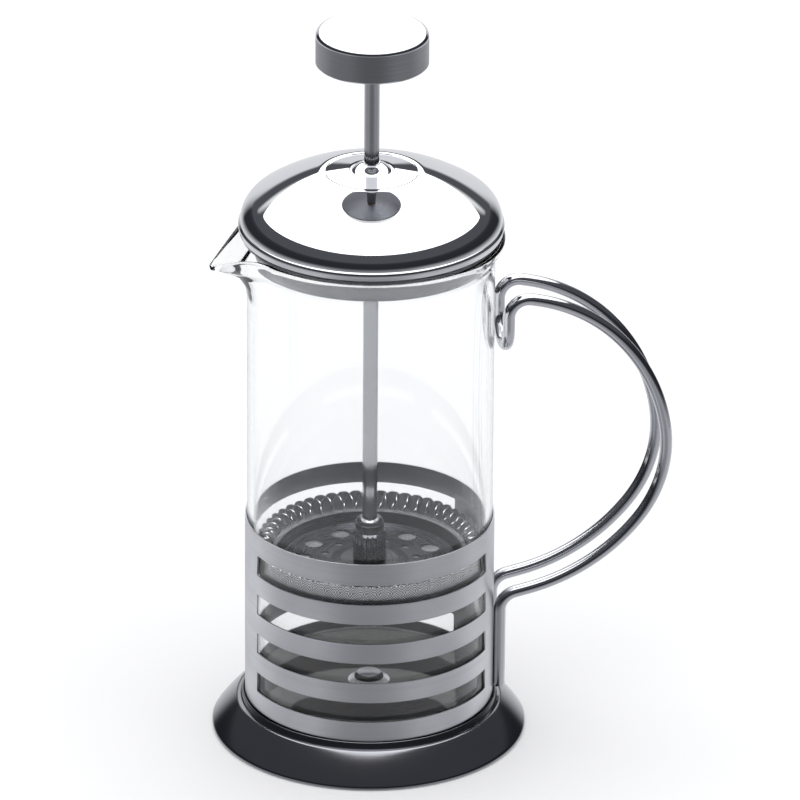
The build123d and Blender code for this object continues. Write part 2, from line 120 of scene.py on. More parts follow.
@dataclass(frozen=True)
class Steel:
    """18/8 stainless steel, worked and polished one way.

    Real sheet is a neutral grey. Its grain blurs the reflection along one direction, and
    buffing leaves soft waves in a mirror.
    """

    name: str
    colour: str
    roughness: float
    grain: Grain
    pitch_mm: float
    depth_mm: float
    shade_spread: float = 0.12
    dull_spread: float = 0.15
    patches_per_metre: float = 60.0  # patches of stronger brushing, about 17 mm across
    noise_low: float = 0.1
    noise_high: float = 0.45

    def build(self) -> bpy.types.Material:
        """Returns the node material."""
        material, tree, shader = new_material(self.name)
        place = add_node(tree, "ShaderNodeTexCoord").outputs["Object"]
        split = add_node(tree, "ShaderNodeSeparateXYZ", inputs={0: place})
        x, y, z = split.outputs
        across = add_node(tree, "ShaderNodeMath", {"operation": "MULTIPLY"}, {0: x, 1: x})
        squares = {0: y, 1: y, 2: across.outputs[0]}
        radius_squared = add_node(tree, "ShaderNodeMath", {"operation": "MULTIPLY_ADD"}, squares)
        root = {0: radius_squared.outputs[0]}
        radius = add_node(tree, "ShaderNodeMath", {"operation": "SQRT"}, root)
        rings = add_node(
            tree, "ShaderNodeCombineXYZ", inputs={0: radius.outputs[0], 1: z, 2: 0.0}
        )
        grain_place = place if self.grain is Grain.POLISHED else rings.outputs[0]
        grain = add_node(
            tree,
            "ShaderNodeTexNoise",
            inputs={"Vector": grain_place, "Scale": 1 / (self.pitch_mm * MM), "Detail": 3.0},
        )
        # broad patches where the brushing or buffing is a little stronger
        patches = add_node(
            tree,
            "ShaderNodeTexNoise",
            inputs={"Vector": place, "Scale": self.patches_per_metre, "Detail": 2.0},
        )
        mixed = add_node(
            tree,
            "ShaderNodeMath",
            {"operation": "MULTIPLY"},
            {0: grain.outputs["Fac"], 1: patches.outputs["Fac"]},
        )

        def spread(low: float, high: float) -> bpy.types.NodeSocket:
            """The mixed noise, brought to lie between two values."""
            limits = {
                "Value": mixed.outputs[0],
                "From Min": self.noise_low,
                "From Max": self.noise_high,
                "To Min": low,
                "To Max": high,
            }
            return add_node(tree, "ShaderNodeMapRange", inputs=limits).outputs[0]

        tone = spread(1 - self.shade_spread, 1.0)
        colour = add_node(
            tree,
            "ShaderNodeMix",
            {"data_type": "RGBA", "blend_type": "MULTIPLY"},
            {0: 1.0, 6: linear(self.colour), 7: tone},
        )
        tree.links.new(colour.outputs[2], shader.inputs["Base Color"])
        dull = spread(
            self.roughness * (1 + self.dull_spread), self.roughness * (1 - self.dull_spread)
        )
        tree.links.new(dull, shader.inputs["Roughness"])
        bump = add_node(
            tree,
            "ShaderNodeBump",
            inputs={
                "Strength": 1.0,
                "Distance": self.depth_mm * MM,
                "Height": grain.outputs["Fac"],
            },
        )
        tree.links.new(bump.outputs[0], shader.inputs["Normal"])
        shader.inputs["Metallic"].default_value = 1.0
        return material


@dataclass(frozen=True)
class WovenScreen:
    """Plain-woven stainless wire cloth: bright knuckles with dark openings between them."""

    name: str = "woven_wire_cloth"
    wire_colour: str = "dcdde1"
    gap_colour: str = "3c3d40"
    pitch_mm: float = 0.75  # real cloth is nearer 0.3 mm; drawn coarser so that it shows
    depth_mm: float = 0.1
    radius_mm: float = 32.8
    roughness: float = 0.38
    gap_height: float = -0.8
    wire_height: float = 0.5

    def build(self) -> bpy.types.Material:
        """Returns the node material, whose weave follows the cup's rings and spokes."""
        material, tree, shader = new_material(self.name)
        place = add_node(tree, "ShaderNodeTexCoord").outputs["Object"]
        split = add_node(tree, "ShaderNodeSeparateXYZ", inputs={0: place})

        def calculate(kind: str, *values: object) -> bpy.types.NodeSocket:
            """Result of one step of arithmetic on sockets and numbers."""
            return add_node(
                tree, "ShaderNodeMath", {"operation": kind}, dict(enumerate(values))
            ).outputs[0]

        x, y, z = split.outputs
        squares = calculate("ADD", calculate("MULTIPLY", x, x), calculate("MULTIPLY", y, y))
        reach = calculate("SQRT", squares)
        turns = 2 * math.pi / (self.pitch_mm * MM)
        along = calculate("MULTIPLY", calculate("ADD", reach, z), turns)
        spokes = round(2 * math.pi * self.radius_mm / self.pitch_mm)
        around = calculate("MULTIPLY", calculate("ARCTAN2", y, x), float(spokes))
        knuckle = calculate("MULTIPLY", calculate("SINE", along), calculate("SINE", around))
        height = add_node(
            tree,
            "ShaderNodeMapRange",
            inputs={"Value": knuckle, "From Min": self.gap_height, "From Max": self.wire_height},
        ).outputs[0]
        colour = add_node(
            tree,
            "ShaderNodeMix",
            {"data_type": "RGBA"},
            {0: height, 6: linear(self.gap_colour), 7: linear(self.wire_colour)},
        )
        tree.links.new(colour.outputs[2], shader.inputs["Base Color"])
        bump = add_node(
            tree,
            "ShaderNodeBump",
            inputs={"Strength": 1.0, "Distance": self.depth_mm * MM, "Height": height},
        )
        tree.links.new(bump.outputs[0], shader.inputs["Normal"])
        shader.inputs["Metallic"].default_value = 1.0
        shader.inputs["Roughness"].default_value = self.roughness
        return material


@dataclass(frozen=True)
class BeakerGlass:
    """Clear borosilicate glass, fire polished: colourless face-on and bright at its rims."""

    name: str = "borosilicate_glass"
    colour: str = "fcfdfd"
    ior: float = 1.474
    ripples_per_metre: float = 35.0
    ripple_depth_mm: float = 0.05
    ripple_strength: float = 0.25

    def build(self) -> bpy.types.Material:
        """Returns the node material."""
        material, tree, shader = new_material(self.name)
        place = add_node(tree, "ShaderNodeTexCoord").outputs["Object"]
        # blown tube keeps faint long ripples, a few centimetres apart
        ripple = add_node(
            tree,
            "ShaderNodeTexNoise",
            inputs={"Vector": place, "Scale": self.ripples_per_metre, "Detail": 1.0},
        )
        bump = add_node(
            tree,
            "ShaderNodeBump",
            inputs={
                "Strength": self.ripple_strength,
                "Distance": self.ripple_depth_mm * MM,
                "Height": ripple.outputs["Fac"],
            },
        )
        tree.links.new(bump.outputs[0], shader.inputs["Normal"])
        shader.inputs["Base Color"].default_value = linear(self.colour)
        shader.inputs["Roughness"].default_value = 0.0
        shader.inputs["IOR"].default_value = self.ior
        shader.inputs["Transmission Weight"].default_value = 1.0
        return material


@dataclass(frozen=True)
class Moulding:
    """Solid material with a fine all-over texture: moulded plastic or turned brass."""

    name: str
    colour: str
    roughness: float
    metallic: float
    texture_mm: float
    depth_mm: float = 0.03
    strength: float = 0.5

    def build(self) -> bpy.types.Material:
        """Returns the node material."""
        material, tree, shader = new_material(self.name)
        place = add_node(tree, "ShaderNodeTexCoord").outputs["Object"]
        spark = add_node(
            tree,
            "ShaderNodeTexNoise",
            inputs={"Vector": place, "Scale": 1 / (self.texture_mm * MM), "Detail": 4.0},
        )
        bump = add_node(
            tree,
            "ShaderNodeBump",
            inputs={
                "Strength": self.strength,
                "Distance": self.depth_mm * MM,
                "Height": spark.outputs["Fac"],
            },
        )
        tree.links.new(bump.outputs[0], shader.inputs["Normal"])
        shader.inputs["Base Color"].default_value = linear(self.colour)
        shader.inputs["Metallic"].default_value = self.metallic
        shader.inputs["Roughness"].default_value = self.roughness
        return material


Finish = Steel | WovenScreen | BeakerGlass | Moulding

# Sheet brushed along its length: an even grey sheen with faint streaks round the piece.
SATIN = Steel("brushed_sheet", "b9babf", 0.3, Grain.ROLLED, 0.25, 0.012)
# The sleeve's finer brushing, made paler than the other brushed sheet: a painted sheen that
# lightens the dim front it mirrors; soft, so that it mirrors only broad shades.
SLEEVE_PAINTED_SHEEN = Steel("sleeve_sheet_painted_sheen", "e2e2e6", 0.34, Grain.ROLLED, 0.25, 0.008)
# The lid's inner ring: brushed sheet made the darkest of the brushed pieces, a painted shade for
# the shadow under the lid's rim.
SATIN_PAINTED_SHADE = Steel("skirt_ring_painted_shade", "8c8d91", 0.32, Grain.ROLLED, 0.25, 0.01)
# The knob's deep-drawn shell, brushed in rings: darker than the sleeve, a painted shade for the
# darker reflection on the knob's side.
KNOB_SIDE_PAINTED_SHADE = Steel("knob_shell_painted_shade", "9a9b9f", 0.3, Grain.ROLLED, 0.25, 0.01)
# The foot, spun and then polished: a blurred dark mirror with fine rings.
SPUN = Steel("spun_polished_sheet", "a4a5aa", 0.15, Grain.TURNED, 0.3, 0.004)
# Buffed sheet: a true mirror whose reflections wave a little.
MIRROR = Steel("buffed_mirror_sheet", "e4e5e8", 0.03, Grain.POLISHED, 14.0, 0.012, 0.03)
# Drawn wire, bright all along: hard highlights beside dark bands.
WIRE = Steel("drawn_bright_wire", "d2d3d7", 0.1, Grain.POLISHED, 3.0, 0.001, 0.05)
# Centreless-ground rod: smooth, a little darker than the wire.
ROD = Steel("ground_rod", "a9aaae", 0.12, Grain.POLISHED, 2.0, 0.001, 0.05)
# Turned and tumbled nut: dark sides and one bright ring on its shoulder.
HUB = Steel("turned_hub_nut", "96979b", 0.12, Grain.POLISHED, 2.0, 0.0003, 0.05)
# Fine spring wire: a spark on each turn.
COIL = Steel("spring_wire", "c9cacd", 0.14, Grain.POLISHED, 1.0, 0.004, 0.1)
# Pressed plate, dulled by its tooling: dark grey with uneven rings.
DARK_PLATE = Steel("pressed_filter_plate", "6c6d72", 0.28, Grain.TURNED, 0.5, 0.003, 0.3)
SCREEN = WovenScreen()
GLASS = BeakerGlass()
# Compression-moulded phenolic: black, with a dull fine texture.
CORE = Moulding("moulded_phenolic", "191919", 0.45, 0.0, 0.4)
# Turned brass, unplated: yellow, with tool marks.
BRASS = Moulding("turned_brass", "c2a35a", 0.28, 1.0, 0.5)


# ---------------------------------------------------------------- modelling helpers
def arc(centre: Point, radius: float, start: float, stop: float, steps: int) -> list[Point]:
    """Points along an arc in the half section.

    Args:
        centre: the arc's centre as (radius, height), in millimetres.
        radius: the arc's own radius.
        start: first angle in degrees, 0 pointing outwards and 90 up.
        stop: last angle in degrees.
        steps: number of spans.

    Returns:
        The points, both ends included.
    """
    turns = [math.radians(start + (stop - start) * i / steps) for i in range(steps + 1)]
    return [(centre[0] + radius * math.cos(t), centre[1] + radius * math.sin(t)) for t in turns]


def deselect() -> None:
    """Leaves edit mode and clears the selection."""
    if bpy.context.object and bpy.context.object.mode != "OBJECT":
        bpy.ops.object.mode_set(mode="OBJECT")
    bpy.ops.object.select_all(action="DESELECT")


def settle(piece: bpy.types.Object, smooth_angle: float = 35.0) -> None:
    """Puts a finished mesh's place into its vertices and smooths its curved faces.

    Args:
        piece: the piece, active and selected.
        smooth_angle: edges sharper than this, in degrees, stay crisp.
    """
    bpy.ops.object.transform_apply(location=True, rotation=True, scale=True)
    bpy.ops.object.shade_smooth_by_angle(angle=math.radians(smooth_angle))
    log.info("made %s: %d faces", piece.name, len(piece.data.polygons))


def lathe(
    name: str, profile: list[Point], segments: int = 144, closed: bool | None = True
) -> bpy.types.Object:
    """Turns a half section about the vertical axis, ring by ring.

    Args:
        name: the piece's name.
        profile: (radius, height) points in millimetres.
        segments: faces round the axis.
        closed: True joins the last ring to the first, False draws both ends in to the axis and
            None leaves them open.

    Returns:
        The finished piece.
    """
    deselect()
    radius, height = profile[0]
    bpy.ops.mesh.primitive_circle_add(
        vertices=segments, radius=radius * MM, location=(0, 0, height * MM)
    )
    piece = bpy.context.object
    piece.name = name
    bpy.ops.object.mode_set(mode="EDIT")
    bpy.ops.mesh.select_all(action="SELECT")
    for next_radius, next_height in profile[1:]:
        rise = (0, 0, (next_height - height) * MM)
        bpy.ops.mesh.extrude_edges_move(TRANSFORM_OT_translate={"value": rise})
        grow = next_radius / radius
        bpy.ops.transform.resize(value=(grow, grow, 1.0))
        radius, height = next_radius, next_height
    if closed:
        bpy.ops.mesh.select_all(action="DESELECT")
        bpy.ops.mesh.select_mode(type="EDGE")
        bpy.ops.mesh.select_non_manifold()
        bpy.ops.mesh.bridge_edge_loops()
    elif closed is False:
        bpy.ops.mesh.merge(type="CENTER")
        bpy.ops.mesh.select_mode(type="EDGE")
        bpy.ops.mesh.select_non_manifold()
        bpy.ops.mesh.merge(type="CENTER")
    bpy.ops.mesh.select_all(action="SELECT")
    bpy.ops.mesh.remove_doubles(threshold=MERGE)
    bpy.ops.mesh.normals_make_consistent(inside=False)
    bpy.ops.object.mode_set(mode="OBJECT")
    settle(piece)
    return piece


def pick_vertices(piece: bpy.types.Object, wanted: Callable[[float, float, float], bool]) -> None:
    """Selects the vertices that a test wants and leaves the piece in edit mode.

    Args:
        piece: the mesh to work on.
        wanted: says whether a vertex at x, y, z in millimetres is taken.
    """
    deselect()
    piece.select_set(True)
    bpy.context.view_layer.objects.active = piece
    bpy.ops.object.mode_set(mode="EDIT")
    bpy.ops.mesh.select_mode(type="VERT")
    bpy.ops.mesh.select_all(action="DESELECT")
    bpy.ops.object.mode_set(mode="OBJECT")
    for vertex in piece.data.vertices:
        vertex.select = wanted(*(vertex.co / MM))
    bpy.ops.object.mode_set(mode="EDIT")


def dress(piece: bpy.types.Object, material: bpy.types.Material) -> None:
    """Gives a piece one material all over."""
    piece.data.materials.clear()
    piece.data.materials.append(material)


class Bench:
    """Holds the finished materials and places pieces on the frame."""

    def __init__(self, nodes: dict[str, bpy.types.Object]) -> None:
        """Keeps the CAD nodes and starts with no material made."""
        self.nodes = nodes
        self.made: dict[str, bpy.types.Material] = {}

    def material(self, finish: Finish) -> bpy.types.Material:
        """Returns the finish's material, made on first use."""
        if finish.name not in self.made:
            self.made[finish.name] = finish.build()
        return self.made[finish.name]

    def refinish(self, node: str, finish: Finish) -> None:
        """Gives a CAD node a better material, its shape untouched."""
        item = self.nodes[node]
        material = self.material(finish)
        if not item.material_slots:
            item.data.materials.append(material)
        for place in item.material_slots:
            place.material = material
        log.info("refinished %s as %s", node, finish.name)

    def place(
        self, piece: bpy.types.Object, body: str, node: str, slot: str, finish: Finish
    ) -> None:
        """Dresses a new piece and puts it on the frame in place of a CAD node.

        Args:
            piece: the new piece.
            body: the body it rides on.
            node: the CAD node it stands for.
            slot: not used.
            finish: its finish.
        """
        dress(piece, self.material(finish))
        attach(piece, body)
        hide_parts(node)
        log.info("placed %s on %s", piece.name, body)


# ---------------------------------------------------------------- studio
@dataclass
class Studio:
    """Pale floor, soft light and the camera."""

    bench: Bench
    distance: float = 2.6
    azimuth: float = -11.0
    elevation: float = 24.465
    roll: float = 0.406
    target_right: float = 8.408 * MM
    target_height: float = 101.624 * MM
    lens: float = 412.33
    floor_size: float = 8.0
    softbox_height: float = 0.30
    softbox_size: Point = (0.4, 0.5)
    softbox_shift_back: float = 0.076
    softbox_watts: float = 1.0
    paper_light_height: float = 2.5
    paper_light_size: float = 6.0
    paper_light_watts: float = 190.0
    beaker_light_height: float = 0.148
    beaker_light_size: float = 0.056
    beaker_light_watts: float = 0.08
    beaker_light_reaches: tuple[str, ...] = (
        "coil_wound",
        "screen_crimped",
        "spring_plate",
        "filter_hub_nut",
    )
    clip_end: float = 50.0
    floor_tone: str = "f4f4f5"
    # where each tone of the sky starts and is full: sines of the elevation, or shares of "away",
    # which runs from -1 at the front to 1 at the back
    wall_rise: Point = (0.05, 0.6)
    strip_sides: Point = (0.8, 0.95)
    band_edge: Point = (0.2, 0.27)
    near_paper: Point = (-0.93, -0.6)
    far_paper: Point = (-0.1, 0.4)
    paper_edge: Point = (-0.12, -0.4)
    high_edge: Point = (0.36, 0.42)
    high_sides: Point = (0.7, 0.8)
    wall_low: str = "2e2f34"
    wall_high: str = "5a5b61"
    pale: str = "e6e7ea"
    band: str = "54555a"
    front_paper: str = "97989c"
    side_paper: str = "c4c5c9"

    def axes(self) -> tuple[Vector, Vector]:
        """Returns the directions to the right of the view and away from it, both level."""
        turn = math.radians(self.azimuth)
        right = Vector((math.cos(turn), math.sin(turn), 0))
        away = Vector((-math.sin(turn), math.cos(turn), 0))
        return right, away

    def camera(self) -> None:
        """Adds the camera and makes it the scene's."""
        right, away = self.axes()
        tilt = math.radians(self.elevation)
        back = Vector((0, 0, math.sin(tilt))) - away * math.cos(tilt)
        target = right * self.target_right + Vector((0, 0, self.target_height))
        up = back.cross(right)
        turn = Matrix((right, up, back)).transposed().to_4x4()
        turn = turn @ Matrix.Rotation(math.radians(self.roll), 4, "Z")
        bpy.ops.object.camera_add()
        camera = bpy.context.object
        camera.matrix_world = Matrix.Translation(target + back * self.distance) @ turn
        camera.data.lens = self.lens
        camera.data.sensor_width = 36.0
        camera.data.clip_end = self.clip_end
        bpy.context.scene.camera = camera

    def floor(self) -> None:
        """Adds the plain pale floor.

        Metal doesn't mirror it: the sky below the horizon stands in for it there.
        """
        deselect()
        bpy.ops.mesh.primitive_plane_add(size=self.floor_size)
        floor = bpy.context.object
        floor.name = "studio_floor"
        material, _, shader = new_material("studio_paper")
        shader.inputs["Base Color"].default_value = linear(self.floor_tone)
        shader.inputs["Roughness"].default_value = 0.9
        shader.inputs["Specular IOR Level"].default_value = 0.0
        dress(floor, material)
        floor.visible_glossy = False

    def lights(self) -> None:
        """Adds the softbox over the press and a broad light for the paper alone."""
        _, away = self.axes()
        place = away * self.softbox_shift_back + Vector((0, 0, self.softbox_height))
        bpy.ops.object.light_add(type="AREA", location=place)
        softbox = bpy.context.object
        softbox.rotation_euler = (0, 0, math.radians(self.azimuth))
        softbox.data.shape = "ELLIPSE"
        softbox.data.size, softbox.data.size_y = self.softbox_size
        softbox.data.energy = self.softbox_watts
        softbox.visible_camera = False
        bpy.ops.object.light_add(type="AREA", location=(0, 0, self.paper_light_height))
        broad = bpy.context.object
        broad.data.size = self.paper_light_size
        broad.data.energy = self.paper_light_watts
        broad.visible_glossy = False
        broad.visible_camera = False
        broad.visible_transmission = False
        deselect()
        bpy.context.view_layer.objects.active = softbox
        bpy.ops.object.light_linking_receiver_collection_new()
        unlit = softbox.light_linking.receiver_collection
        unlit.objects.link(bpy.data.objects["studio_floor"])
        unlit.collection_objects[0].light_linking.link_state = "EXCLUDE"

    def beaker_light(self) -> None:
        """Adds the light that enters through the beaker's wall and falls on the filter."""
        place = (0, 0, self.beaker_light_height)
        bpy.ops.object.light_add(type="AREA", location=place)
        inner = bpy.context.object
        inner.data.shape = "DISK"
        inner.data.size = self.beaker_light_size
        inner.data.energy = self.beaker_light_watts
        inner.visible_camera = False
        inner.visible_transmission = False
        deselect()
        bpy.context.view_layer.objects.active = inner
        bpy.ops.object.light_linking_receiver_collection_new()
        lit = inner.light_linking.receiver_collection
        for name in self.beaker_light_reaches:
            lit.objects.link(self.bench.nodes.get(name) or bpy.data.objects[name])

    def sky(self) -> None:
        """Surrounds the press with what its metal mirrors.

        Dark walls stand at the front and sides. Straight behind is a pale strip near the
        horizon, with a dim band above it and open light higher up, and pale paper lies below.
        """
        world = bpy.data.worlds.new("studio_sky")
        bpy.context.scene.world = world
        world.use_nodes = True
        tree = world.node_tree
        tree.nodes.clear()
        direction = add_node(tree, "ShaderNodeTexCoord").outputs["Generated"]
        height = add_node(tree, "ShaderNodeSeparateXYZ", inputs={0: direction}).outputs[2]
        away = add_node(
            tree,
            "ShaderNodeVectorMath",
            {"operation": "DOT_PRODUCT"},
            {0: direction, 1: tuple(self.axes()[1])},
        ).outputs["Value"]

        def ramp(value: bpy.types.NodeSocket, low: float, high: float) -> bpy.types.NodeSocket:
            """A smooth step from 0 at low to 1 at high."""
            return add_node(
                tree,
                "ShaderNodeMapRange",
                {"interpolation_type": "SMOOTHSTEP"},
                {"Value": value, "From Min": low, "From Max": high},
            ).outputs[0]

        def layer(mask: bpy.types.NodeSocket, under: object, tone: str) -> bpy.types.NodeSocket:
            """One tone laid over what is under it where the mask is 1."""
            sockets = {0: mask, 6: under, 7: linear(tone)}
            return add_node(tree, "ShaderNodeMix", {"data_type": "RGBA"}, sockets).outputs[2]

        walls = layer(ramp(height, *self.wall_rise), linear(self.wall_low), self.wall_high)
        tone = layer(ramp(away, *self.strip_sides), walls, self.pale)
        tone = layer(ramp(height, *self.band_edge), tone, self.band)
        near = layer(ramp(away, *self.near_paper), linear(self.front_paper), self.side_paper)
        low_paper = layer(ramp(away, *self.far_paper), near, self.pale)
        below = add_node(
            tree,
            "ShaderNodeMix",
            {"data_type": "RGBA"},
            {0: ramp(height, *self.paper_edge), 6: tone, 7: low_paper},
        ).outputs[2]
        high_back = add_node(
            tree,
            "ShaderNodeMath",
            {"operation": "MULTIPLY"},
            {0: ramp(height, *self.high_edge), 1: ramp(away, *self.high_sides)},
        ).outputs[0]
        sky = layer(high_back, below, "ffffff")
        shade = add_node(tree, "ShaderNodeBackground", inputs={"Color": sky, "Strength": 1.0})
        output = add_node(tree, "ShaderNodeOutputWorld")
        tree.links.new(shade.outputs[0], output.inputs["Surface"])

    def build(self) -> None:
        """Sets up camera, floor and light."""
        deselect()
        self.camera()
        self.floor()
        self.lights()
        self.beaker_light()
        self.sky()
        bpy.context.scene.view_settings.view_transform = "Standard"


# ---------------------------------------------------------------- the press
@dataclass
class Foot:
    """Flared foot pressed from sheet, carrying the sleeve."""

    bench: Bench
    rim_radius: float = 45.0
    rim_height: float = 1.2
    shoulder: Point = (38.3, 8.95)
    bulge_radius: float = 45.0
    bend_radius: float = 1.3
    sheet: float = 0.8
    flange_width: float = 2.2
    rim_round: float = 0.5
    groove_radius: float = 36.9
    seat_lip: float = 36.2
    lip_round: float = 0.25
    lip_rise: float = 0.2
    seat_edge: float = 35.5
    seat_hole: float = 26.0
    seat_height: float = 10.55
    under_seat: float = 34.8

    def flank(self, inset: float) -> list[Point]:
        """Arc of the flank from the rim up to the shoulder.

        Args:
            inset: how far the arc lies inside the outer face.
        """
        start, end = (self.rim_radius, self.rim_height), self.shoulder
        run, rise = end[0] - start[0], end[1] - start[1]
        chord = math.hypot(run, rise)
        depth = math.sqrt(self.bulge_radius**2 - (chord / 2) ** 2)
        middle = ((start[0] + end[0]) / 2, (start[1] + end[1]) / 2)
        centre = (middle[0] - depth * rise / chord, middle[1] + depth * run / chord)
        first = math.degrees(math.atan2(start[1] - centre[1], start[0] - centre[0]))
        last = math.degrees(math.atan2(end[1] - centre[1], end[0] - centre[0]))
        return arc(centre, self.bulge_radius - inset, first, last, 14)

    def build(self) -> None:
        """Turns the skirt and dresses the foot."""
        outer = self.flank(0.0)
        run, rise = outer[-1][0] - outer[-2][0], outer[-1][1] - outer[-2][1]
        lean = math.degrees(math.atan2(rise, run)) - 90
        bend_centre = (
            self.shoulder[0] - self.bend_radius * math.cos(math.radians(lean)),
            self.shoulder[1] - self.bend_radius * math.sin(math.radians(lean)),
        )
        groove = bend_centre[1] + self.bend_radius
        inner = self.flank(self.sheet)
        top = self.seat_height
        rim_centre = self.rim_radius - self.rim_round
        profile = [
            (self.rim_radius - self.flange_width, 0.0),
            (rim_centre, 0.0),
            *arc((rim_centre, self.rim_round), self.rim_round, -60, 0, 4),
            *outer,
            *arc(bend_centre, self.bend_radius, lean, 90, 6)[1:],
            (self.groove_radius, groove),
            (self.seat_lip + self.lip_round, top + self.lip_rise),
            *arc((self.seat_lip, top + self.lip_rise), self.lip_round, 0, 180, 6)[1:],
            (self.seat_edge, top),
            (self.seat_hole, top),
            (self.seat_hole, top - self.sheet),
            (self.under_seat, top - self.sheet),
            *reversed(inner),
            (self.rim_radius - self.sheet, self.sheet),
            (self.rim_radius - self.flange_width, self.sheet),
        ]
        skirt = lathe("foot_skirt", profile, segments=192)
        self.bench.place(skirt, "holder", "base_skirt", "skirt_steel", SPUN)
        self.bench.refinish("base_floor", SATIN)
        self.bench.refinish("handle_wire", WIRE)


@dataclass
class Sleeve:
    """Rolled sheet sleeve with four rows of long windows on each side."""

    bench: Bench
    outer_radius: float = 35.62
    sheet: float = 0.42
    bottom: float = 11.25
    top: float = 66.55
    first_row: float = 20.1
    pitch: float = 12.3
    rows: int = 4
    window_height: float = 6.2
    handle_half_angle: float = 32.0
    spout_half_angle: float = 15.5
    corner_cut: float = 0.495
    facets: int = 720
    near: float = 0.05

    def in_window_angle(self, x: float, y: float) -> bool:
        """Whether a point lies between the two columns."""
        turn = math.degrees(math.atan2(abs(y), x))
        return self.handle_half_angle < turn < 180 - self.spout_half_angle

    def cut_windows(self, sleeve: bpy.types.Object, cuts: list[float]) -> None:
        """Deletes the faces of the windows.

        Args:
            sleeve: the rolled sheet.
            cuts: bottom and top of each row of windows in turn.
        """

        def window(x: float, y: float, z: float) -> bool:
            """Whether a face at this place is cut away."""
            level = any(low < z < high for low, high in zip(cuts[::2], cuts[1::2]))
            return level and self.in_window_angle(x, y)

        deselect()
        sleeve.select_set(True)
        bpy.context.view_layer.objects.active = sleeve
        bpy.ops.object.mode_set(mode="EDIT")
        bpy.ops.mesh.select_mode(type="FACE")
        bpy.ops.mesh.select_all(action="DESELECT")
        bpy.ops.object.mode_set(mode="OBJECT")
        for face in sleeve.data.polygons:
            face.select = window(*(face.center / MM))
        bpy.ops.object.mode_set(mode="EDIT")
        bpy.ops.mesh.delete(type="FACE")

    def round_corners(self, sleeve: bpy.types.Object, cuts: list[float]) -> None:
        """Rounds the windows' corners.

        Args:
            sleeve: the sheet with its windows cut.
            cuts: bottom and top of each row of windows in turn.
        """

        def corner(x: float, y: float, z: float) -> bool:
            """Whether a vertex is a corner of a window."""
            turn = math.degrees(math.atan2(abs(y), x))
            side = min(abs(turn - self.handle_half_angle), abs(turn - 180 + self.spout_half_angle))
            return side < self.near and any(abs(z - cut) < self.near for cut in cuts)

        pick_vertices(sleeve, corner)
        bpy.ops.mesh.bevel(
            offset=self.corner_cut * MM, affect="VERTICES", segments=3, clamp_overlap=False
        )
        bpy.ops.object.mode_set(mode="OBJECT")

    def build(self) -> None:
        """Rolls the sheet, cuts its windows, rounds their corners and gives it its thickness."""
        cuts = []
        for row in range(self.rows):
            middle = self.first_row + row * self.pitch
            cuts += [middle - self.window_height / 2, middle + self.window_height / 2]
        outline = [(self.outer_radius, z) for z in (self.bottom, *cuts, self.top)]
        sleeve = lathe("sleeve_sheet", outline, self.facets, closed=None)
        self.cut_windows(sleeve, cuts)
        self.round_corners(sleeve, cuts)
        wall = sleeve.modifiers.new("wall", "SOLIDIFY")
        wall.thickness = self.sheet * MM
        wall.offset = -1.0
        bpy.ops.object.modifier_apply(modifier="wall")
        settle(sleeve)
        # the sleeve's raised paleness is painted sheen
        self.bench.place(sleeve, "holder", "frame_sleeve", "satin_steel", SLEEVE_PAINTED_SHEEN)


